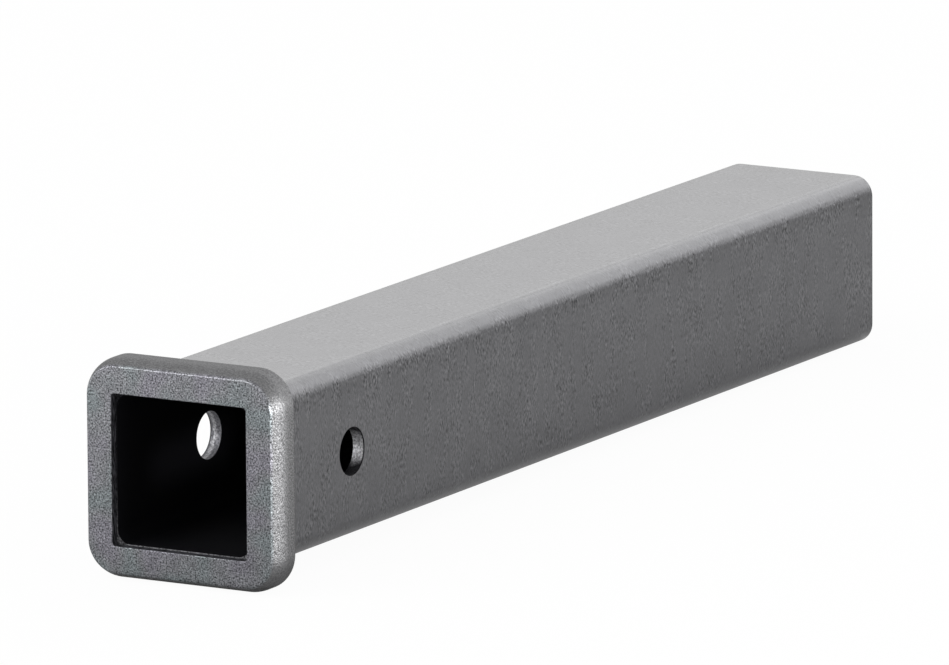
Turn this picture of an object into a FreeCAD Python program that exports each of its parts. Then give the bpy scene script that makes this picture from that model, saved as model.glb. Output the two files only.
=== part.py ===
import FreeCAD, Part
import math
import os

# A weld-on receiver tube: a length of square steel tube with a reinforcing collar on its mouth.
# The mouth's front face lies in the plane y = 0 and is centred on the origin.
# +Y runs down the bore to the rear end, +X is the tube's right side and +Z its top. Lengths are in mm.

# The square tube
tube_length = 454.0
tube_width = 63.5
tube_wall = 4.76
tube_corner_radius = 7.4
bore_corner_radius = 4.8
saw_cut_edge_break = 0.3

# The cross hole that takes the hitch pin
pin_hole_diameter = 17.46
pin_hole_setback = 63.5
pin_hole_edge_break = 0.15

# The collar, a ring with a flat front, a crowned rim and a lip that stops the tube's end
socket_clearance = 0.15
collar_wall = 7.8
collar_depth = 14.3
collar_corner_radius = 13.7
collar_lip = 3.2
crown_rise = 2.55
crown_depth = 8.0
collar_face_edge_radius = 0.5
collar_rear_edge_radius = 2.0
mouth_step = 0.42
mouth_corner_radius = 1.2
mouth_edge_radius = 0.4

# The fillet weld that joins the back of the collar to the tube
weld_leg = 5.0
weld_convexity = 0.7

# Worked out from the sizes above
tube_half = tube_width / 2
bore_half = tube_half - tube_wall
tube_front = collar_lip
tube_rear = tube_front + tube_length
pin_hole_y = tube_front + pin_hole_setback
pin_hole_radius = pin_hole_diameter / 2
socket_half = tube_half + socket_clearance
socket_corner_radius = tube_corner_radius + socket_clearance
collar_half = socket_half + collar_wall
mouth_half = bore_half + mouth_step


def turned_about_y(shape, degrees):
    """A copy of the shape, turned about the bore's axis."""
    copy = shape.copy()
    copy.rotate(FreeCAD.Vector(0, 0, 0), FreeCAD.Vector(0, 1, 0), degrees)
    return copy


def square_outline(half, corner, y):
    """A closed rounded square, centred on the bore's axis, in the plane at y."""
    flat = half - corner
    reach = flat + corner * math.sqrt(0.5)
    edges = []
    for quarter in range(4):
        side = Part.makeLine(FreeCAD.Vector(-flat, y, half), FreeCAD.Vector(flat, y, half))
        bend = Part.Arc(
            FreeCAD.Vector(flat, y, half),
            FreeCAD.Vector(reach, y, reach),
            FreeCAD.Vector(half, y, flat),
        ).toShape()
        edges += [turned_about_y(side, 90 * quarter), turned_about_y(bend, 90 * quarter)]
    return Part.Wire(Part.__sortEdges__(edges))


def square_prism(half, corner, start, end):
    """A solid rounded square bar along Y, from start to end."""
    return Part.Face(square_outline(half, corner, start)).extrude(FreeCAD.Vector(0, end - start, 0))


def ring_around_square(section, half, corner):
    """Carries a section, drawn in the YZ plane at the top side, once around a rounded square."""
    flat = half - corner
    run = section.copy()
    run.translate(FreeCAD.Vector(-flat, 0, 0))
    run = run.extrude(FreeCAD.Vector(2 * flat, 0, 0))
    bend = section.copy()
    bend.translate(FreeCAD.Vector(flat, 0, 0))
    bend = bend.revolve(FreeCAD.Vector(flat, 0, flat), FreeCAD.Vector(0, 1, 0), 90)
    pieces = [turned_about_y(piece, 90 * quarter) for quarter in range(4) for piece in (run, bend)]
    return pieces[0].fuse(pieces[1:]).removeSplitter()


def edges_in_plane(shape, y, reach):
    """The edges of the shape that lie in the plane at y and stay within reach of the bore's axis."""
    tolerance = 1e-4
    found = []
    for edge in shape.Edges:
        box = edge.BoundBox
        flat = abs(box.YMin - y) < tolerance and abs(box.YMax - y) < tolerance
        near = max(-box.XMin, box.XMax, -box.ZMin, box.ZMax) < reach + tolerance
        if flat and near:
            found.append(edge)
    return found


def pin_hole_cutter():
    """The pin hole's drill through both walls, with a cone at each outer rim that breaks its edge."""
    along = FreeCAD.Vector(1, 0, 0)
    cutter = Part.makeCylinder(pin_hole_radius, tube_width, FreeCAD.Vector(-tube_half, pin_hole_y, 0), along)
    rim_radius = pin_hole_radius + pin_hole_edge_break
    for side in (-1, 1):
        cone = Part.makeCone(
            rim_radius,
            pin_hole_radius,
            pin_hole_edge_break,
            FreeCAD.Vector(side * tube_half, pin_hole_y, 0),
            FreeCAD.Vector(-side, 0, 0),
        )
        cutter = cutter.fuse(cone)
    return cutter


def square_tube():
    """The tube: one length of hollow square section with a cross hole near its front end."""
    tube = square_prism(tube_half, tube_corner_radius, tube_front, tube_rear)
    tube = tube.cut(square_prism(bore_half, bore_corner_radius, tube_front, tube_rear))
    rims = edges_in_plane(tube, tube_rear, tube_half)
    tube = tube.makeChamfer(saw_cut_edge_break, rims)
    return tube.cut(pin_hole_cutter())


def collar_section(inner):
    """Half of the collar's section, from the height called inner out to its crowned rim."""
    crown_radius = (crown_depth ** 2 + crown_rise ** 2) / (2 * crown_rise)
    crown_centre = FreeCAD.Vector(0, crown_depth, collar_half - crown_radius)
    # The face's edge is rounded by an arc that touches both the flat face and the crown
    small = collar_face_edge_radius
    edge_height = math.sqrt((crown_radius - small) ** 2 - (crown_depth - small) ** 2)
    edge_centre = crown_centre + FreeCAD.Vector(0, small - crown_depth, edge_height)
    to_crown = (edge_centre - crown_centre).normalize()
    to_face = FreeCAD.Vector(0, -1, 0)
    face_end = edge_centre + to_face * small
    edge_middle = edge_centre + (to_face + to_crown).normalize() * small
    crown_start = crown_centre + to_crown * crown_radius
    crest = FreeCAD.Vector(0, crown_depth, collar_half)
    crown_middle = crown_centre + (to_crown + FreeCAD.Vector(0, 0, 1)).normalize() * crown_radius
    rear_flat = collar_depth - collar_rear_edge_radius
    turn = collar_rear_edge_radius * math.sqrt(0.5)
    rim_end = FreeCAD.Vector(0, rear_flat, collar_half)
    rear_edge = FreeCAD.Vector(0, collar_depth, collar_half - collar_rear_edge_radius)
    turn_middle = FreeCAD.Vector(0, rear_flat + turn, collar_half - collar_rear_edge_radius + turn)
    inner_rear = FreeCAD.Vector(0, collar_depth, inner)
    inner_front = FreeCAD.Vector(0, 0, inner)
    edges = [
        Part.makeLine(inner_front, face_end),
        Part.Arc(face_end, edge_middle, crown_start).toShape(),
        Part.Arc(crown_start, crown_middle, crest).toShape(),
        Part.makeLine(crest, rim_end),
        Part.Arc(rim_end, turn_middle, rear_edge).toShape(),
        Part.makeLine(rear_edge, inner_rear),
        Part.makeLine(inner_rear, inner_front),
    ]
    return Part.Face(Part.Wire(edges))


def front_collar():
    """The collar: a crowned ring whose socket holds the tube's end and whose lip frames the mouth."""
    core = collar_half - collar_corner_radius
    blank = ring_around_square(collar_section(core), collar_half, collar_corner_radius)
    blank = blank.fuse(Part.makeBox(2 * core, collar_depth, 2 * core, FreeCAD.Vector(-core, 0, -core)))
    blank = blank.removeSplitter()
    socket = square_prism(socket_half, socket_corner_radius, collar_lip, collar_depth)
    mouth = square_prism(mouth_half, mouth_corner_radius, 0, collar_lip)
    collar = blank.cut(socket.fuse(mouth))
    return collar.makeFillet(mouth_edge_radius, edges_in_plane(collar, 0, mouth_half))


def weld_section():
    """The weld's section: a leg up the collar's back, a leg along the tube and a convex face between."""
    root = FreeCAD.Vector(0, collar_depth, tube_half)
    up = FreeCAD.Vector(0, collar_depth, tube_half + weld_leg)
    along = FreeCAD.Vector(0, collar_depth + weld_leg, tube_half)
    bulge = weld_leg / 2 + weld_convexity * math.sqrt(0.5)
    middle = root + FreeCAD.Vector(0, bulge, bulge)
    edges = [Part.makeLine(root, up), Part.Arc(up, middle, along).toShape(), Part.makeLine(along, root)]
    return Part.Face(Part.Wire(edges))


def collar_weld():
    """The fillet weld, run once around the tube behind the collar."""
    return ring_around_square(weld_section(), tube_half, tube_corner_radius)


PARTS = {"square_tube": square_tube, "front_collar": front_collar, "collar_weld": collar_weld}

os.makedirs("parts", exist_ok=True)
for name, make in PARTS.items():
    solid = make()
    print(name, "valid", solid.isValid(), "solids", len(solid.Solids), "cm3", round(solid.Volume / 1000, 2))
    solid.exportStep(f"parts/{name}.step")
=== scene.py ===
"""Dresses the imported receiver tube: its steel finishes, the rippled weld behind its collar and a studio."""

import logging  # noqa: E402
import math  # noqa: E402
from dataclasses import dataclass  # noqa: E402
from enum import Enum  # noqa: E402
from functools import partial  # noqa: E402

import bmesh  # noqa: E402
import bpy  # noqa: E402
from mathutils import Matrix, Vector, noise  # noqa: E402

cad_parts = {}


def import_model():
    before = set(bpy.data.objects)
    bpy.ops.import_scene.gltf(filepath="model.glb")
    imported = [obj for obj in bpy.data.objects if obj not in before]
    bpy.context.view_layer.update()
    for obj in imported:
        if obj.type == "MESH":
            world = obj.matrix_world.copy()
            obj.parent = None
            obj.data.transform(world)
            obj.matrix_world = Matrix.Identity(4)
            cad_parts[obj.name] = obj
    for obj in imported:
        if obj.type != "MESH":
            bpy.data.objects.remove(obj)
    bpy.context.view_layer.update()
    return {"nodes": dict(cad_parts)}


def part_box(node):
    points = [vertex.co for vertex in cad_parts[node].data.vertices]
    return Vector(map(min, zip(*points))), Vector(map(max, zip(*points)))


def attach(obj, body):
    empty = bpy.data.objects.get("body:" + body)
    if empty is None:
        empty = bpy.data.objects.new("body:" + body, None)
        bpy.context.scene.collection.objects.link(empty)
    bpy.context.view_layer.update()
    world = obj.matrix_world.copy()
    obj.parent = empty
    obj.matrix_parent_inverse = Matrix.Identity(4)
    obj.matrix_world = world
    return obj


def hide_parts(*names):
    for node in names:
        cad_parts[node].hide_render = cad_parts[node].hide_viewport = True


LOG = logging.getLogger("receiver_tube")
MM = 0.001
Colour = tuple[float, float, float, float]
Triple = tuple[float, float, float]
Span = tuple[float, float]
Socket = bpy.types.NodeSocket
Value = Socket | Colour | Triple | float


def linear(hex_colour: str) -> Colour:
    """Turns an sRGB hex colour into a linear one.

    Args:
        hex_colour: Six hex digits after a hash, as "#6a6a6d".

    Returns:
        Linear red, green and blue, and an alpha of 1.
    """
    channels = [int(hex_colour[i : i + 2], 16) / 255 for i in (1, 3, 5)]
    red, green, blue = (c / 12.92 if c <= 0.04045 else ((c + 0.055) / 1.055) ** 2.4 for c in channels)
    return (red, green, blue, 1.0)


class Maths(Enum):
    """The arithmetic that the finishes and the floor use, on numbers and on vectors."""

    SUBTRACT = "SUBTRACT"
    MULTIPLY = "MULTIPLY"
    ADD = "ADD"
    MINIMUM = "MINIMUM"
    MAXIMUM = "MAXIMUM"
    ABSOLUTE = "ABSOLUTE"
    LESS = "LESS_THAN"
    SCALE_AND_ADD = "MULTIPLY_ADD"
    DOT_PRODUCT = "DOT_PRODUCT"
    LENGTH = "LENGTH"
    NORMALIZE = "NORMALIZE"


def add_node(
    tree: bpy.types.NodeTree,
    kind: str,
    inputs: tuple[Value, ...] | dict[str | int, Value] = (),
    **settings: Enum | str,
) -> bpy.types.NodeOutputs:
    """Adds a shader node with its settings, values and links.

    Args:
        tree: The node tree that takes the node.
        kind: The node's type without its "ShaderNode", as "Math".
        inputs: A value, or an output to link, for each input: in their order, or by name or number.
        **settings: The node's own attributes by name. An Enum member stands for its value.

    Returns:
        The new node's outputs.
    """
    node = tree.nodes.new("ShaderNode" + kind)
    for name, setting in settings.items():
        setattr(node, name, setting.value if isinstance(setting, Enum) else setting)
    for key, value in inputs.items() if isinstance(inputs, dict) else enumerate(inputs):
        if isinstance(value, bpy.types.NodeSocket):
            tree.links.new(value, node.inputs[key])
        else:
            node.inputs[key].default_value = value
    return node.outputs


class SteelSurface:
    """A steel finish's node tree, with the steps that the finishes share. Its lengths are in millimetres.

    Attributes:
        add: Adds a node to this tree, as add_node does.
        place: Each point's place, and x, y and z its parts.
    """

    def __init__(self, name: str) -> None:
        """Starts an empty node material.

        Args:
            name: The material's name, after the real finish.
        """
        self.material = bpy.data.materials.new(name)
        self.material.use_nodes = True
        tree = self.material.node_tree
        tree.nodes.clear()
        self.add = partial(add_node, tree)
        in_mm = {"Vector": self.add("TexCoord")["Object"], "Scale": (1 / MM,) * 3}
        self.place = self.add("Mapping", in_mm)["Vector"]
        self.x, self.y, self.z = self.add("SeparateXYZ", (self.place,))

    def clouds(self, cell: float, detail: float, drawn_out: Triple = (1.0, 1.0, 1.0)) -> Socket:
        """Makes a cloudy pattern.

        Args:
            cell: The width of one light or dark spot.
            detail: How many finer patterns lie on it.
            drawn_out: How many times longer the spots are along X, Y and Z.

        Returns:
            The pattern, 0.5 in the mean.
        """
        squeezed = {"Vector": self.place, "Scale": tuple(1 / d for d in drawn_out)}
        place = self.add("Mapping", squeezed)["Vector"]
        return self.add("TexNoise", {"Vector": place, "Scale": 1 / cell, "Detail": detail})[0]

    def band(self, value: Socket, fade_in: Span, fade_out: Span) -> Socket:
        """Marks a band of a value.

        Args:
            value: The value to look at.
            fade_in: Where the band begins, from its first trace to its full strength.
            fade_out: Where it ends, from its full strength to nothing.

        Returns:
            1 inside the band and 0 outside.
        """
        begun = self.add("MapRange", (value, *fade_in, 0.0, 1.0))[0]
        ended = self.add("MapRange", (value, *fade_out, 0.0, 1.0))[0]
        return self.add("Math", (begun, ended), operation=Maths.SUBTRACT)[0]

    def shade(self, colour: Value, brightness: Value) -> Socket:
        """Makes a colour lighter or darker by a factor."""
        grey = self.add("CombineColor", (brightness,) * 3)[0]
        return self.add("Mix", {0: 1.0, 6: colour, 7: grey}, data_type="RGBA", blend_type="MULTIPLY")[2]

    def flecked(self, colour: Value, pattern: Socket, contrast: Value, darkest: float = 0.15) -> Socket:
        """Makes a colour lighter where a pattern is above its mean and darker where it is below.

        Args:
            colour: The colour to change.
            pattern: The pattern, 0.5 in the mean.
            contrast: How strongly the pattern shows.
            darkest: The share of the colour that the darkest flecks keep.

        Returns:
            The changed colour.
        """
        off_mean = self.add("Math", (pattern, 0.5), operation=Maths.SUBTRACT)[0]
        factor = self.add("Math", (off_mean, contrast, 1.0), operation=Maths.SCALE_AND_ADD)[0]
        return self.shade(colour, self.add("Math", (factor, darkest), operation=Maths.MAXIMUM)[0])

    def off_square(self, half: float, corner: float) -> Socket:
        """Gives the way out from the flat core of a rounded square tube about the Y axis.

        Args:
            half: Half of the square's width.
            corner: Its corner radius.

        Returns:
            A vector that stands upright on the flats and turns with the roundings.
        """
        flat = half - corner
        endless = 1e6
        core = self.add("VectorMath", (self.place, (-flat, -endless, -flat)), operation=Maths.MAXIMUM)[0]
        core = self.add("VectorMath", (core, (flat, endless, flat)), operation=Maths.MINIMUM)[0]
        return self.add("VectorMath", (self.place, core), operation=Maths.SUBTRACT)[0]

    def beyond_square(self, half: float, corner: float) -> Socket:
        """Measures from a rounded square tube about the Y axis.

        Args:
            half: Half of the square's width.
            corner: Its corner radius.

        Returns:
            How far a point lies outside the square, or below 0 how deep it lies inside.
        """
        reach = self.add("VectorMath", (self.off_square(half, corner),), operation=Maths.LENGTH)["Value"]
        return self.add("Math", (reach, corner), operation=Maths.SUBTRACT)[0]

    def true_normal(self, half: float, corner: float, on_skin: Socket) -> Socket:
        """Gives the true roundings' normals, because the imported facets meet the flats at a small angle.

        Args:
            half: Half of the rounded square's width.
            corner: Its corner radius.
            on_skin: 1 on the tube's skin. Elsewhere the surface keeps its own normal.

        Returns:
            The normal.
        """
        own = self.add("NewGeometry")["Normal"]
        true = self.add("VectorMath", (self.off_square(half, corner),), operation=Maths.NORMALIZE)[0]
        return self.add("Mix", {0: on_skin, 4: own, 5: true}, data_type="VECTOR")[1]

    def metal(
        self, colour: Socket, roughness: Value, normal: Socket, edge: str = "#ffffff"
    ) -> bpy.types.Material:
        """Ends the tree in a bare metal surface, whose IOR stays the default.

        Args:
            colour: What the metal reflects when it is seen straight on.
            roughness: How dull it is, from 0 to 1.
            normal: The bumped normal.
            edge: How much of the glancing shine is left, as a grey, where an open surface shades itself.

        Returns:
            The node material.
        """
        inputs = {"Base Color": colour, "Metallic": 1.0, "Roughness": roughness, "Normal": normal}
        inputs["Specular Tint"] = linear(edge)
        self.add("OutputMaterial", {"Surface": self.add("BsdfPrincipled", inputs)["BSDF"]})
        return self.material


@dataclass(frozen=True)
class TubeSizes:
    """The sizes of the tube that its finish and its weld need, in millimetres."""

    half: float
    front: float
    rear: float
    corner: float = 7.4
    wall: float = 4.76
    pin_hole_setback: float = 63.5
    pin_hole_radius: float = 8.73

    @classmethod
    def from_frame(cls) -> "TubeSizes":
        """Reads the tube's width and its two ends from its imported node."""
        low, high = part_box("square_tube")
        return cls(half=(high.x - low.x) / 2 / MM, front=low.y / MM, rear=high.y / MM)


@dataclass(frozen=True)
class MillSteel:
    """Mild steel tube, roll formed and wire brushed, which gives a dull grey with soft reflections.

    Faint short streaks run round the section, in clusters that are drawn out the same way. They are strong in
    a scraped band under the upper roundings, which is also drawn a little darker as painted shade, and faint
    on the roundings, which the rolls have smoothed. The real streaks are finer than the render shows, so they
    are drawn coarser. The bore keeps its black mill scale. The front end in the collar is ragged and dark,
    partly mill scale and partly painted shade, with a painted highlight towards its bottom, and the sawn rear
    end is
    bright. The pin hole is punched: the left wall shows a band that the punch has rubbed between duller torn
    metal, and the right wall is torn metal drawn bright as painted light, and darker above and below. Both
    rims are drawn dark as painted shade. Lengths are in millimetres.
    """

    colour: str = "#5a5a5c"
    light_patch: str = "#5e5e60"
    patch: float = 14.0
    patch_fade: Span = (0.35, 0.65)
    roughness: float = 0.25
    streak: float = 0.55
    streak_length: float = 2.6
    streak_depth: float = 0.02
    streak_bump: float = 0.4
    streak_contrast: float = 2.8
    cluster: float = 4.5
    cluster_length: float = 3.0
    cluster_fade: Span = (0.4, 0.6)
    cluster_least: float = 0.25
    scraped_from: Span = (19.0, 24.0)
    scraped_to: Span = (26.0, 28.5)
    scraped_contrast: float = 4.6
    # Painted shade: how much darker the scraped band under the upper roundings is drawn.
    scraped_band_painted_shade: float = 0.93
    rolled_from: Span = (26.5, 29.0)
    rolled_to: Span = (31.2, 31.7)
    rolled_share: float = 0.35
    skin_depth: float = 0.05
    scale_colour: str = "#1a1a1d"
    scale_depth: float = 0.1
    scale_roughness: float = 0.8
    # Partly mill scale and partly painted shade: the end in the collar is drawn dark.
    front_scale_and_shade_colour: str = "#2c2c2f"
    front_depth: float = 0.1
    front_contrast: float = 4.0
    # Painted highlight: the lighter colour towards the bottom of the front end.
    painted_highlight_colour: str = "#707073"
    painted_highlight_from: float = 6.0
    sawn_colour: str = "#868688"
    sawn_depth: float = 0.35
    sawn_roughness: float = 0.38
    saw_line: float = 0.5
    saw_line_length: float = 6.0
    saw_line_contrast: float = 3.5
    hole_margin: float = 1.0
    # Painted shade: the colour that the pin hole's rims are drawn in.
    rim_colour: str = "#2a2a2c"
    rim_depth: float = 0.5
    tear: float = 0.7
    tear_depth: float = 0.3
    tear_contrast: float = 2.6
    torn_left: str = "#66666a"
    # Painted light: the right wall of the pin hole is drawn bright.
    torn_right_painted_light: str = "#c8c8cb"
    torn_roughness: float = 0.55
    rubbed_colour: str = "#949497"
    rubbed_from: Span = (1.1, 1.5)
    rubbed_to: Span = (2.2, 2.9)
    # The right wall's colour above and below, darker than its middle.
    above_below_colour: str = "#3f3f42"
    above_below_fade: Span = (3.8, 6.6)
    ragged: float = 3.0
    ragged_by: float = 2.4

    def skin(self, s: SteelSurface, streaks: Socket, kept: Socket) -> Socket:
        """Colours the outside: light patches under clusters of streaks, and the scraped bands, which are
        drawn a little darker as painted shade.

        Args:
            s: The steel's node tree.
            streaks: The pattern of the streaks.
            kept: The share of the streaks that the rolls have left.

        Returns:
            The colour.
        """
        patches = s.add("MapRange", (s.clouds(self.patch, detail=2.0), *self.patch_fade, 0.0, 1.0))[0]
        plain = {0: patches, 6: linear(self.colour), 7: linear(self.light_patch)}
        colour = s.add("Mix", plain, data_type="RGBA")[2]
        clusters = s.clouds(self.cluster, 2.0, (self.cluster_length, 1.0, self.cluster_length))
        clusters = s.add("MapRange", (clusters, *self.cluster_fade, self.cluster_least, 1.0))[0]
        scraped = s.band(s.z, self.scraped_from, self.scraped_to)
        contrast = s.add("MapRange", (scraped, 0.0, 1.0, self.streak_contrast, self.scraped_contrast))[0]
        for share in (clusters, kept):
            contrast = s.add("Math", (contrast, share), operation=Maths.MULTIPLY)[0]
        colour = s.flecked(colour, streaks, contrast)
        # Painted shade: the scraped band is drawn a little darker.
        return s.shade(colour, s.add("MapRange", (scraped, 0.0, 1.0, 1.0, self.scraped_band_painted_shade))[0])

    def punched(self, s: SteelSurface, beyond: Socket, height: Socket, tears: Socket) -> Socket:
        """Colours the wall of the punched pin hole.

        Args:
            s: The steel's node tree.
            beyond: How far a point lies outside the tube's skin.
            height: How far a point lies above or below the tube's middle.
            tears: The pattern of the torn metal.

        Returns:
            The colour.
        """
        ragged = (s.clouds(self.ragged, detail=1.0), self.ragged_by, -self.ragged_by / 2)
        wander = s.add("Math", ragged, operation=Maths.SCALE_AND_ADD)[0]
        depth = s.add("Math", (wander, beyond), operation=Maths.SUBTRACT)[0]
        rubbed = s.band(depth, self.rubbed_from, self.rubbed_to)
        torn_and_rubbed = {0: rubbed, 6: linear(self.torn_left), 7: linear(self.rubbed_colour)}
        left = s.add("Mix", torn_and_rubbed, data_type="RGBA")[2]
        # The right wall: torn metal drawn bright as painted light, and darker above and below.
        from_middle = s.add("Math", (height, wander), operation=Maths.ADD)[0]
        toward_above_below = s.add("MapRange", (from_middle, *self.above_below_fade, 0.0, 1.0))[0]
        torn_and_above_below = {0: toward_above_below, 6: linear(self.torn_right_painted_light), 7: linear(self.above_below_colour)}
        right = s.add("Mix", torn_and_above_below, data_type="RGBA")[2]
        on_right = s.add("Math", (0.0, s.x), operation=Maths.LESS)[0]
        wall = s.add("Mix", {0: on_right, 6: left, 7: right}, data_type="RGBA")[2]
        wall = s.flecked(wall, tears, self.tear_contrast)
        # Painted shade: both rims of the pin hole are drawn dark.
        at_rim = s.add("Math", (-self.rim_depth, beyond), operation=Maths.LESS)[0]
        return s.add("Mix", {0: at_rim, 6: wall, 7: linear(self.rim_colour)}, data_type="RGBA")[2]

    def in_pin_hole(self, s: SteelSurface, tube: TubeSizes, beyond: Socket) -> Socket:
        """Marks the walls of the pin hole.

        Args:
            s: The steel's node tree.
            tube: The tube's sizes.
            beyond: How far a point lies outside the tube's skin.

        Returns:
            1 on the walls and 0 elsewhere.
        """
        pin = (0.0, tube.front + tube.pin_hole_setback, 0.0)
        offset = s.add("VectorMath", (s.place, pin), operation=Maths.SUBTRACT)[0]
        offset = s.add("VectorMath", (offset, (0.0, 1.0, 1.0)), operation=Maths.MULTIPLY)[0]
        radius = s.add("VectorMath", (offset,), operation=Maths.LENGTH)["Value"]
        near = s.add("Math", (radius, tube.pin_hole_radius + self.hole_margin), operation=Maths.LESS)[0]
        under_skin = s.add("Math", (beyond, -self.skin_depth), operation=Maths.LESS)[0]
        return s.add("Math", (near, under_skin), operation=Maths.MULTIPLY)[0]

    def front_end(self, s: SteelSurface, tube: TubeSizes, tears: Socket) -> Socket:
        """Colours the end in the collar: dark and ragged, partly mill scale and partly painted shade, with a
        painted highlight towards its bottom.

        Args:
            s: The steel's node tree.
            tube: The tube's sizes.
            tears: The pattern of the torn metal.

        Returns:
            The colour.
        """
        # Painted highlight: the front end is drawn lighter towards its bottom.
        painted_highlight_share = s.add("MapRange", (s.z, -self.painted_highlight_from, self.painted_highlight_from - tube.half, 0.0, 1.0))[0]
        ragged_end = {0: painted_highlight_share, 6: linear(self.front_scale_and_shade_colour), 7: linear(self.painted_highlight_colour)}
        return s.flecked(s.add("Mix", ragged_end, data_type="RGBA")[2], tears, self.front_contrast)

    def sawn_end(self, s: SteelSurface) -> Socket:
        """Colours the rear end: bright, with the saw's lines across it."""
        saw_lines = s.clouds(self.saw_line, 2.0, (self.saw_line_length, 1.0, 1.0))
        return s.flecked(linear(self.sawn_colour), saw_lines, self.saw_line_contrast)

    def material(self, tube: TubeSizes) -> bpy.types.Material:
        """Builds the tube's material.

        Args:
            tube: The tube's sizes, which tell its skin, its bore, its ends and its pin hole apart.

        Returns:
            The node material.
        """
        s = SteelSurface("brushed_mild_steel_tube")
        beyond = s.beyond_square(tube.half, tube.corner)
        height = s.add("Math", (s.z,), operation=Maths.ABSOLUTE)[0]
        tears = s.clouds(self.tear, detail=2.0)
        streaks = s.clouds(self.streak, 1.0, (self.streak_length, 1.0, self.streak_length))
        rolled = s.band(height, self.rolled_from, self.rolled_to)
        kept = s.add("MapRange", (rolled, 0.0, 1.0, 1.0, self.rolled_share))[0]

        # The pin hole, the bore and the two ends, each over what comes before
        in_hole = self.in_pin_hole(s, tube, beyond)
        scaled = s.add("Math", (beyond, self.scale_depth - tube.wall), operation=Maths.LESS)[0]
        at_front = s.add("Math", (s.y, tube.front + self.front_depth), operation=Maths.LESS)[0]
        at_rear = s.add("Math", (tube.rear - self.sawn_depth, s.y), operation=Maths.LESS)[0]
        colour = self.skin(s, streaks, kept)
        for mark, over in (
            (in_hole, self.punched(s, beyond, height, tears)),
            (scaled, linear(self.scale_colour)),
            (at_front, self.front_end(s, tube, tears)),
            (at_rear, self.sawn_end(s)),
        ):
            colour = s.add("Mix", {0: mark, 6: colour, 7: over}, data_type="RGBA")[2]

        rough = s.add("MapRange", (in_hole, 0.0, 1.0, self.roughness, self.torn_roughness))[0]
        dull = s.add("Math", (scaled, at_front), operation=Maths.MAXIMUM)[0]
        rough = s.add("MapRange", (dull, 0.0, 1.0, rough, self.scale_roughness))[0]
        rough = s.add("MapRange", (at_rear, 0.0, 1.0, rough, self.sawn_roughness))[0]

        on_skin = s.add("Math", (-self.skin_depth, beyond), operation=Maths.LESS)[0]
        normal = s.true_normal(tube.half, tube.corner, on_skin)
        strength = s.add("Math", (kept, self.streak_bump), operation=Maths.MULTIPLY)[0]
        brushed = {"Height": streaks, "Distance": self.streak_depth * MM, "Strength": strength}
        normal = s.add("Bump", brushed | {"Normal": normal})["Normal"]
        torn = {"Height": tears, "Distance": self.tear_depth * MM, "Strength": in_hole}
        return s.metal(colour, rough, s.add("Bump", torn | {"Normal": normal})["Normal"])


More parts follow.
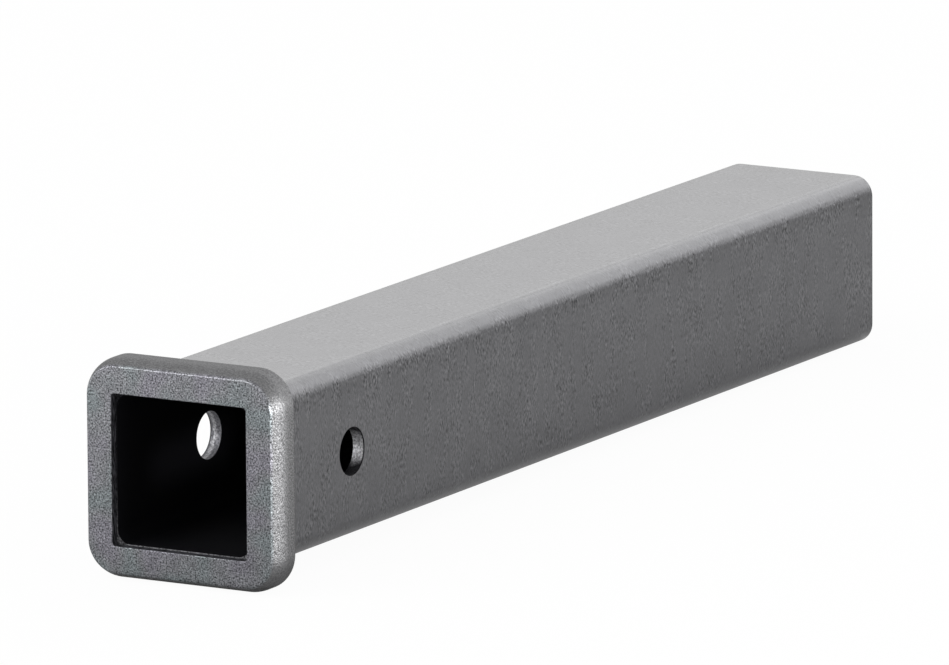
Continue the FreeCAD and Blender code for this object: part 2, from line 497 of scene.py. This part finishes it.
@dataclass(frozen=True)
class BlastedSteel:
    """Hot formed steel after shot blasting, which gives an open grit of light and dark specks.

    The grit is at its strongest on the flat face, with a faint violet and green cast of the old scale between
    the specks, and the colour is a little lighter towards the upper left as painted light. The real grit is
    finer than the render shows, so it is drawn coarser. The crowned rim is smoother, but not on its straight
    sides, and it is drawn darker behind its crest and underneath as painted shade. Handling has burnished the
    rounded edge between the face and the rim, and its colour is lifted there as a painted highlight. The wall
    of the mouth stays dark and ragged. Lengths are in millimetres.
    """

    colour: str = "#6c6d70"
    violet_cast: str = "#6e6d73"
    violet_fade: Span = (0.5, 0.62)
    green_cast: str = "#6a6f71"
    green_fade: Span = (0.5, 0.38)
    cast: float = 16.0
    # Painted light: how much lighter the colour gets towards the upper left, per millimetre.
    painted_light_towards: Triple = (-0.0012, 0.0, 0.0034)
    roughness: float = 0.46
    edge_shine: str = "#cfcfcf"
    grit: float = 0.62
    grit_depth: float = 0.12
    grit_dulls: float = 0.3
    face_grit: float = 4.2
    face_bump: float = 0.3
    blotch: float = 4.5
    face_blotch: float = 0.6
    rim_colour: str = "#6b6b6c"
    rim_fade: Span = (0.4, 1.4)
    rim_roughness: float = 0.48
    rim_grit: float = 1.3
    rim_bump: float = 1.0
    rim_blotch: float = 0.2
    side_grit: float = 2.7
    side_fade: Span = (33.0, 25.0)
    rear_fade: Span = (6.0, 10.0)
    # Painted shade behind the rim's crest, deeper along its straight sides.
    rim_rear_painted_shade: float = 0.92
    side_rear_painted_shade: float = 0.8
    # Painted shade: the colour darkens towards the collar's bottom.
    underside_fade: Span = (-37.0, -35.8)
    underside_painted_shade: float = 0.72
    ridge: Span = (0.03, 0.75)
    ridge_from_mouth: float = 1.0
    ridge_roughness: float = 0.3
    # Painted highlight: how much the ridge's colour is lifted.
    ridge_painted_highlight: float = 1.25
    mouth_half: float = 27.5
    mouth_corner: float = 1.3
    mouth_colour: str = "#424246"
    mouth_roughness: float = 0.8
    rag: float = 0.9
    rag_drawn_out: Triple = (3.0, 0.7, 3.0)
    rag_contrast: float = 8.0

    def scaled_grit(self, s: SteelSurface, grit: Socket, on_rim: Socket, on_side: Socket) -> Socket:
        """Colours the outside: the casts of the old scale, with the grit and the blotches over them.

        Args:
            s: The steel's node tree.
            grit: The pattern of the grit.
            on_rim: 1 on the crowned rim and 0 on the face.
            on_side: 1 along the rim's straight sides and 0 above and below them.

        Returns:
            The colour.
        """
        casts = s.clouds(self.cast, detail=1.0)
        violet = s.add("MapRange", (casts, *self.violet_fade, 0.0, 1.0))[0]
        green = s.add("MapRange", (casts, *self.green_fade, 0.0, 1.0))[0]
        colour = linear(self.colour)
        for mark, over in ((violet, self.violet_cast), (green, self.green_cast), (on_rim, self.rim_colour)):
            colour = s.add("Mix", {0: mark, 6: colour, 7: linear(over)}, data_type="RGBA")[2]
        rim_grit = s.add("MapRange", (on_side, 0.0, 1.0, self.rim_grit, self.side_grit))[0]
        specks = s.add("MapRange", (on_rim, 0.0, 1.0, self.face_grit, rim_grit))[0]
        colour = s.flecked(colour, grit, specks)
        blotches = s.add("MapRange", (on_rim, 0.0, 1.0, self.face_blotch, self.rim_blotch))[0]
        return s.flecked(colour, s.clouds(self.blotch, detail=2.0), blotches)

    def shaded(self, s: SteelSurface, colour: Socket, on_side: Socket) -> Socket:
        """Makes the colour lighter to the upper left and darker behind the rim's crest and underneath, as
        painted light and shade.

        Args:
            s: The steel's node tree.
            colour: The colour to change.
            on_side: 1 along the rim's straight sides and 0 above and below them.

        Returns:
            The changed colour.
        """
        # Painted light: lighter towards the upper left.
        lighter = s.add("VectorMath", (s.place, self.painted_light_towards), operation=Maths.DOT_PRODUCT)["Value"]
        # Painted shade behind the rim's crest, darker along its straight sides.
        rear_painted_shade = s.add("MapRange", (on_side, 0.0, 1.0, self.rim_rear_painted_shade, self.side_rear_painted_shade))[0]
        rear_painted_shade = s.add("MapRange", (s.y, *self.rear_fade, 1.0, rear_painted_shade))[0]
        both = s.add("Math", (lighter, rear_painted_shade, rear_painted_shade), operation=Maths.SCALE_AND_ADD)[0]
        # Painted shade underneath.
        underside = s.add("MapRange", (s.z, *self.underside_fade, self.underside_painted_shade, 1.0))[0]
        return s.shade(s.shade(colour, both), underside)

    def on_ridge(self, s: SteelSurface, beyond_mouth: Socket) -> Socket:
        """Marks the rounded edge between the face and the rim.

        Args:
            s: The steel's node tree.
            beyond_mouth: How far a point lies outside the mouth.

        Returns:
            1 on the ridge and 0 elsewhere.
        """
        off_face = s.add("Math", (self.ridge[0], s.y), operation=Maths.LESS)[0]
        off_rim = s.add("Math", (s.y, self.ridge[1]), operation=Maths.LESS)[0]
        off_mouth = s.add("Math", (self.ridge_from_mouth, beyond_mouth), operation=Maths.LESS)[0]
        on_edge = s.add("Math", (off_face, off_rim), operation=Maths.MULTIPLY)[0]
        return s.add("Math", (on_edge, off_mouth), operation=Maths.MULTIPLY)[0]

    def material(self) -> bpy.types.Material:
        """Builds the collar's material."""
        s = SteelSurface("shot_blasted_steel")
        grit = s.clouds(self.grit, detail=1.5)
        height = s.add("Math", (s.z,), operation=Maths.ABSOLUTE)[0]
        on_rim = s.add("MapRange", (s.y, *self.rim_fade, 0.0, 1.0))[0]
        on_side = s.add("MapRange", (height, *self.side_fade, 0.0, 1.0))[0]
        beyond_mouth = s.beyond_square(self.mouth_half, self.mouth_corner)
        in_mouth = s.add("Math", (beyond_mouth, 0.0), operation=Maths.LESS)[0]
        ridge = self.on_ridge(s, beyond_mouth)

        colour = self.shaded(s, self.scaled_grit(s, grit, on_rim, on_side), on_side)
        rag = s.clouds(self.rag, 3.0, self.rag_drawn_out)
        mouth = s.flecked(linear(self.mouth_colour), rag, self.rag_contrast)
        colour = s.add("Mix", {0: in_mouth, 6: colour, 7: mouth}, data_type="RGBA")[2]
        # Painted highlight along the ridge.
        colour = s.shade(colour, s.add("MapRange", (ridge, 0.0, 1.0, 1.0, self.ridge_painted_highlight))[0])

        open_grit = s.add("MapRange", (on_rim, 0.0, 1.0, self.roughness, self.rim_roughness))[0]
        open_grit = s.add("Math", (open_grit, self.grit_dulls / 2), operation=Maths.ADD)[0]
        rough = s.add("Math", (grit, -self.grit_dulls, open_grit), operation=Maths.SCALE_AND_ADD)[0]
        rough = s.add("MapRange", (ridge, 0.0, 1.0, rough, self.ridge_roughness))[0]
        rough = s.add("MapRange", (in_mouth, 0.0, 1.0, rough, self.mouth_roughness))[0]

        strength = s.add("MapRange", (on_rim, 0.0, 1.0, self.face_bump, self.rim_bump))[0]
        pits = {"Height": grit, "Distance": self.grit_depth * MM, "Strength": strength}
        return s.metal(colour, rough, s.add("Bump", pits)["Normal"], self.edge_shine)


@dataclass(frozen=True)
class WeldMetal:
    """Weld metal as it cooled, whose dull oxide skin shows brown and blue heat colours. Lengths are in mm."""

    colour: str = "#5d5b5c"
    heat_blue: str = "#53565e"
    blue_fade: Span = (0.5, 0.65)
    heat_brown: str = "#665d54"
    brown_fade: Span = (0.5, 0.35)
    patch: float = 8.0
    grain: float = 0.6
    grain_contrast: float = 1.5
    grain_depth: float = 0.03
    grain_bump: float = 0.6
    roughness: float = 0.4

    def material(self) -> bpy.types.Material:
        """Builds the weld's material."""
        s = SteelSurface("cooled_weld_metal")
        patches = s.clouds(self.patch, detail=2.0)
        grain = s.clouds(self.grain, detail=2.0)
        colour = linear(self.colour)
        for fade, heat in ((self.blue_fade, self.heat_blue), (self.brown_fade, self.heat_brown)):
            mark = s.add("MapRange", (patches, *fade, 0.0, 1.0))[0]
            colour = s.add("Mix", {0: mark, 6: colour, 7: linear(heat)}, data_type="RGBA")[2]
        colour = s.flecked(colour, grain, self.grain_contrast)
        skin = {"Height": grain, "Distance": self.grain_depth * MM, "Strength": self.grain_bump}
        return s.metal(colour, self.roughness, s.add("Bump", skin)["Normal"])


@dataclass
class WeldBead:
    """The fillet weld behind the collar: one convex bead around the tube, with the ripples of each melt pool.

    Lengths are in millimetres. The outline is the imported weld's own, and every ripple goes inwards from it.
    The patches are the sizes over which the ripples' drift and depth and the bead's size wander.
    """

    tube: TubeSizes
    collar_back: float
    leg: float
    finish: WeldMetal = WeldMetal()
    convexity: float = 0.7
    root_sink: float = 0.3
    faces_across: int = 10
    face_length: float = 0.35
    bend_face_length: float = 0.455
    ripple_spacing: float = 1.9
    ripple_depth: Span = (0.09, 0.39)
    depth_patch: float = 3.3
    ripple_sharpness: float = 0.7
    ripple_bow: float = 0.55
    ripple_drift: float = 0.9
    drift_patch: float = 9.0
    wander: float = 0.07
    wander_patch: float = 6.25
    least_arm: float = 1.0
    merge: float = 0.01

    @classmethod
    def from_frame(cls, tube: TubeSizes) -> "WeldBead":
        """Reads the weld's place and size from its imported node."""
        low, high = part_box("collar_weld")
        return cls(tube=tube, collar_back=low.y / MM, leg=(high.y - low.y) / MM)

    @property
    def flat(self) -> float:
        """Half the length of each straight run."""
        return self.tube.half - self.tube.corner

    @property
    def quarter(self) -> float:
        """The length of one straight run and one bend, along the middle of the bead."""
        return 2 * self.flat + math.pi / 2 * (self.tube.corner + self.leg / 2)

    def section(self, shape: bmesh.types.BMesh) -> list[bmesh.types.BMVert | bmesh.types.BMEdge]:
        """Draws the bead's outline at the left end of the top run.

        Args:
            shape: The mesh that takes it.

        Returns:
            The outline's vertices and edges.
        """
        half_chord = self.leg * math.sqrt(0.5)
        radius = (half_chord**2 + self.convexity**2) / (2 * self.convexity)
        sag = math.sqrt(0.5) * (radius - self.convexity)
        middle = self.leg / 2
        centre = (-self.flat, self.collar_back + middle - sag, self.tube.half + middle - sag)
        sweep = 2 * math.asin(half_chord / radius)
        toe = shape.verts.new((-self.flat, self.collar_back, self.tube.half + self.leg))
        face = {"geom": [toe], "cent": centre, "axis": (-1, 0, 0), "angle": sweep, "steps": self.faces_across}
        bmesh.ops.spin(shape, **face)
        end = max(shape.verts, key=lambda v: v.co.y)
        sunk = (-self.flat, self.collar_back - self.root_sink, self.tube.half - self.root_sink)
        root = shape.verts.new(sunk)
        shape.edges.new((toe, root))
        shape.edges.new((root, end))
        return shape.verts[:] + shape.edges[:]

    def place_along(self, x: float, z: float) -> float:
        """Measures how far along the bead a point lies.

        Args:
            x: The point's place to the right.
            z: Its height.

        Returns:
            The length from the left end of the top run, clockwise as seen from the mouth.
        """
        for turns, (u, v) in enumerate(((x, z), (-z, x), (-x, -z), (z, -x))):
            if v > self.flat and -self.flat <= u <= self.flat:
                return turns * self.quarter + u + self.flat
            if v > self.flat and u > self.flat:
                bend = math.atan2(u - self.flat, v - self.flat) * (self.tube.corner + self.leg / 2)
                return turns * self.quarter + 2 * self.flat + bend
        return 0.0

    def ripple(self, vertex: bmesh.types.BMVert) -> None:
        """Draws a vertex in towards the root, by the ripple it lies on and the bead's wander.

        Args:
            vertex: A vertex of the bead, in millimetres.
        """
        x, _, z = vertex.co
        core = Vector((max(-self.flat, min(self.flat, x)), 0, max(-self.flat, min(self.flat, z))))
        outward = (Vector((x, 0, z)) - core).normalized()
        foot = core + outward * self.tube.corner + Vector((0, self.collar_back, 0))
        arm = vertex.co - foot
        across = (arm.y - arm.dot(outward)) / self.leg
        length = 4 * self.quarter
        ripples = round(length / self.ripple_spacing)
        drift = self.ripple_drift * noise.noise(vertex.co / self.drift_patch)
        phase = self.place_along(x, z) / length * ripples + drift - self.ripple_bow * across**2
        valley = 1 - abs(math.sin(math.pi * phase)) ** self.ripple_sharpness
        shallow, deep = self.ripple_depth
        depth = shallow + (deep - shallow) * (0.5 + 0.5 * noise.noise(vertex.co / self.depth_patch))
        thinner = self.wander * (0.5 + 0.5 * noise.noise(vertex.co / self.wander_patch))
        pulled = thinner + depth * valley * (1 - across**4) / max(arm.length, self.least_arm)
        vertex.co = foot + arm * (1 - pulled)

    def build(self) -> bpy.types.Object:
        """Makes the bead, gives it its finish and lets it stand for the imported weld.

        Returns:
            The bead.
        """
        shape = bmesh.new()
        outline = self.section(shape)
        straights = round(2 * self.flat / self.face_length)
        bends = round(math.pi / 2 * (self.tube.corner + self.leg) / self.bend_face_length)
        for turns in range(4):
            turn = Matrix.Rotation(math.pi / 2 * turns, 3, "Y")
            run = turn @ Vector((2 * self.flat / straights, 0, 0))
            corner = turn @ Vector((self.flat, 0, self.flat))
            straight = {"cent": (0, 0, 0), "axis": (0, 1, 0), "dvec": run, "angle": 0.0, "steps": straights}
            outline = bmesh.ops.spin(shape, geom=outline, **straight)["geom_last"]
            bend = {"cent": corner, "axis": (0, 1, 0), "angle": math.pi / 2, "steps": bends}
            outline = bmesh.ops.spin(shape, geom=outline, **bend)["geom_last"]
        bmesh.ops.remove_doubles(shape, verts=shape.verts, dist=self.merge)
        for vertex in shape.verts:
            if vertex.co.y > self.collar_back - self.merge:
                self.ripple(vertex)
        bmesh.ops.recalc_face_normals(shape, faces=shape.faces)
        bmesh.ops.scale(shape, verts=shape.verts, vec=(MM, MM, MM))
        mesh = bpy.data.meshes.new("rippled_weld")
        shape.to_mesh(mesh)
        shape.free()
        mesh.shade_smooth()
        bead = bpy.data.objects.new("rippled_weld", mesh)
        bpy.context.scene.collection.objects.link(bead)
        mesh.materials.append(self.finish.material())
        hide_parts("collar_weld")
        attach(bead, "root")
        finish = mesh.materials[0].name
        LOG.info("%s has %d faces and is dressed in %s", bead.name, len(mesh.polygons), finish)
        return bead


@dataclass(frozen=True)
class PhotoCamera:
    """The photograph's camera, fitted to the tube's outline.

    The angles say from where it looks at the mouth, and mouth_px where the mouth's centre shows in the frame.
    """

    azimuth_deg: float = 29.69
    elevation_deg: float = 11.59
    roll_deg: float = -0.355
    distance: float = 5.187
    focal_px: float = 14790.5
    mouth_px: tuple[float, float] = (178.0, 477.0)
    frame_px: tuple[int, int] = (949, 665)
    sensor: float = 36.0

    def place(self) -> bpy.types.Object:
        """Makes the scene's camera and returns it."""
        azimuth = math.radians(self.azimuth_deg)
        elevation = math.radians(self.elevation_deg)
        roll = math.radians(self.roll_deg)
        flat = math.cos(elevation)
        back = Vector((math.sin(azimuth) * flat, -math.cos(azimuth) * flat, math.sin(elevation)))
        level = Vector((math.cos(azimuth), math.sin(azimuth), 0))
        upright = back.cross(level)
        right = level * math.cos(roll) + upright * math.sin(roll)
        up = upright * math.cos(roll) - level * math.sin(roll)
        pixel = self.distance / self.focal_px
        across = (self.mouth_px[0] - (self.frame_px[0] - 1) / 2) * pixel
        down = (self.mouth_px[1] - (self.frame_px[1] - 1) / 2) * pixel
        turn = Matrix((right, up, back)).transposed().to_4x4()
        camera = bpy.data.objects.new("photo_camera", bpy.data.cameras.new("photo_camera"))
        camera.matrix_world = Matrix.Translation(back * self.distance - right * across + up * down) @ turn
        camera.data.sensor_width = self.sensor
        camera.data.lens = self.focal_px * self.sensor / self.frame_px[0]
        camera.data.clip_end = 4 * self.distance
        bpy.context.scene.collection.objects.link(camera)
        bpy.context.scene.camera = camera
        return camera


@dataclass(frozen=True)
class SoftBox:
    """One soft lamp. It stands at an angle from +X towards +Y, at a distance from the mouth, in metres."""

    name: str
    bearing_deg: float
    distance: float
    height: float
    wide: float
    tall: float
    radiance: float

    def light(self) -> bpy.types.Object:
        """Makes the lamp and returns it."""
        data = bpy.data.lights.new(self.name, "AREA")
        data.shape = "RECTANGLE"
        data.size = self.wide
        data.size_y = self.tall
        data.energy = self.radiance * math.pi * self.wide * self.tall
        bearing = math.radians(self.bearing_deg)
        place = Vector((self.distance * math.cos(bearing), self.distance * math.sin(bearing), self.height))
        facing = Vector((-place.x, -place.y, 0)).to_track_quat("-Z", "Y").to_matrix().to_4x4()
        lamp = bpy.data.objects.new(self.name, data)
        lamp.matrix_world = Matrix.Translation(place) @ facing
        bpy.context.scene.collection.objects.link(lamp)
        return lamp


@dataclass
class Studio:
    """The pale floor, the white surroundings and the soft lamps.

    The four lamps behind are mirrored in the tube's top and roundings. Their lower edges differ, so the
    rounding fades softly into the side. The one in front lights the collar's face and rim, and the one to the
    right draws the bright band down the rim's right side.
    """

    paper: str = "#d2d2d2"
    floor_size: float = 14.0
    white_in_view: float = 0.96
    white_in_steel: float = 0.22
    lamps: tuple[SoftBox, ...] = (
        SoftBox("back_softbox", 78.0, 5.0, 2.53, 5.0, 2.2, 0.9),
        SoftBox("low_back_softbox", 78.0, 5.2, 2.18, 5.2, 3.18, 0.85),
        SoftBox("back_left_softbox", 121.0, 5.0, 2.36, 2.9, 2.6, 0.62),
        SoftBox("high_left_softbox", 111.0, 5.0, 2.75, 1.2, 2.3, 0.38),
        SoftBox("right_softbox", 12.5, 2.1, 0.13, 1.85, 0.32, 28.0),
        SoftBox("front_left_softbox", 236.0, 2.3, 1.8, 3.0, 3.4, 2.35),
    )

    def build(self, slope: float, height: float) -> None:
        """Makes the floor, the world and the lamps.

        Args:
            slope: The floor's rise along Y, in radians. The tube rests on it by its collar and its rear end.
            height: The floor's height at y = 0, in metres.
        """
        self.lay_floor(slope, height)
        self.light_world()
        for lamp in self.lamps:
            lamp.light()

    def lay_floor(self, slope: float, height: float) -> bpy.types.Object:
        """Makes the floor.

        Args:
            slope: The rise along Y, in radians.
            height: The height at y = 0, in metres.

        Returns:
            The floor.
        """
        shape = bmesh.new()
        bmesh.ops.create_grid(shape, x_segments=1, y_segments=1, size=self.floor_size / 2)
        bmesh.ops.rotate(shape, verts=shape.verts, matrix=Matrix.Rotation(slope, 3, "X"))
        bmesh.ops.translate(shape, verts=shape.verts, vec=(0, 0, height))
        mesh = bpy.data.meshes.new("floor")
        shape.to_mesh(mesh)
        shape.free()
        floor = bpy.data.objects.new("floor", mesh)
        bpy.context.scene.collection.objects.link(floor)
        mesh.materials.append(self.paper_material())
        return floor

    def paper_material(self) -> bpy.types.Material:
        """Makes the floor's pale paper.

        It is white to the camera and in the steel, apart from a share of real paper that keeps the tube's
        shadow. From below it is clear.

        Returns:
            The node material.
        """
        material = bpy.data.materials.new("pale_paper_floor")
        material.use_nodes = True
        tree = material.node_tree
        tree.nodes.clear()
        ray = add_node(tree, "LightPath")
        seen = (ray["Is Camera Ray"], self.white_in_view)
        in_view = add_node(tree, "Math", seen, operation=Maths.MULTIPLY)[0]
        either = (ray["Is Glossy Ray"], ray["Is Transmission Ray"])
        mirrored = add_node(tree, "Math", either, operation=Maths.MAXIMUM)[0]
        in_steel = add_node(tree, "Math", (mirrored, self.white_in_steel), operation=Maths.MULTIPLY)[0]
        white_share = add_node(tree, "Math", (in_view, in_steel), operation=Maths.MAXIMUM)[0]
        paper = add_node(tree, "BsdfDiffuse", {"Color": linear(self.paper)})[0]
        white = add_node(tree, "Emission", {"Strength": 1.0})[0]
        above = add_node(tree, "MixShader", (white_share, paper, white))[0]
        below = add_node(tree, "NewGeometry")["Backfacing"]
        clear = add_node(tree, "BsdfTransparent")[0]
        sides = add_node(tree, "MixShader", (below, above, clear))[0]
        add_node(tree, "OutputMaterial", {"Surface": sides})
        return material

    def light_world(self) -> None:
        """Surrounds the tube with plain white."""
        world = bpy.data.worlds.new("white_studio")
        bpy.context.scene.world = world
        world.use_nodes = True
        tree = world.node_tree
        tree.nodes.clear()
        sky = add_node(tree, "Background", {"Color": (1, 1, 1, 1), "Strength": 1.0})[0]
        add_node(tree, "OutputWorld", {"Surface": sky})


@dataclass
class ReceiverTube:
    """The tube, its collar and the weld between them, with the steel finish of each."""

    nodes: dict[str, bpy.types.Object]
    collar_rear_edge: float = 2.0
    tube_finish: MillSteel = MillSteel()
    collar_finish: BlastedSteel = BlastedSteel()

    def dress(self, name: str, material: bpy.types.Material) -> None:
        """Gives all slots of a node one material.

        Args:
            name: The node's name.
            material: The steel finish.
        """
        for slot in self.nodes[name].material_slots:
            slot.material = material
        LOG.info("%s is dressed in %s", name, material.name)

    def build(self) -> None:
        """Dresses the tube and the collar, and lays the weld between them."""
        sizes = TubeSizes.from_frame()
        self.dress("square_tube", self.tube_finish.material(sizes))
        self.dress("front_collar", self.collar_finish.material())
        WeldBead.from_frame(sizes).build()

    def resting_floor(self) -> tuple[float, float]:
        """Works out the floor that the collar's lowest line and the tube's rear end rest on.

        Returns:
            The floor's slope along Y in radians, and its height at y = 0 in metres.
        """
        collar_low, collar_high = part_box("front_collar")
        tube_low, tube_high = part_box("square_tube")
        crest_end = collar_high.y - self.collar_rear_edge * MM
        rise = (tube_low.z - collar_low.z) / (tube_high.y - crest_end)
        return math.atan(rise), collar_low.z - rise * crest_end


def main() -> None:
    """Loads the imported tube, dresses it, and sets up the camera and the studio."""
    logging.basicConfig(level=logging.INFO)
    bpy.context.scene.view_settings.view_transform = "Standard"
    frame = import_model()
    PhotoCamera().place()
    tube = ReceiverTube(frame["nodes"])
    tube.build()
    Studio().build(*tube.resting_floor())


if __name__ == "__main__":
    main()
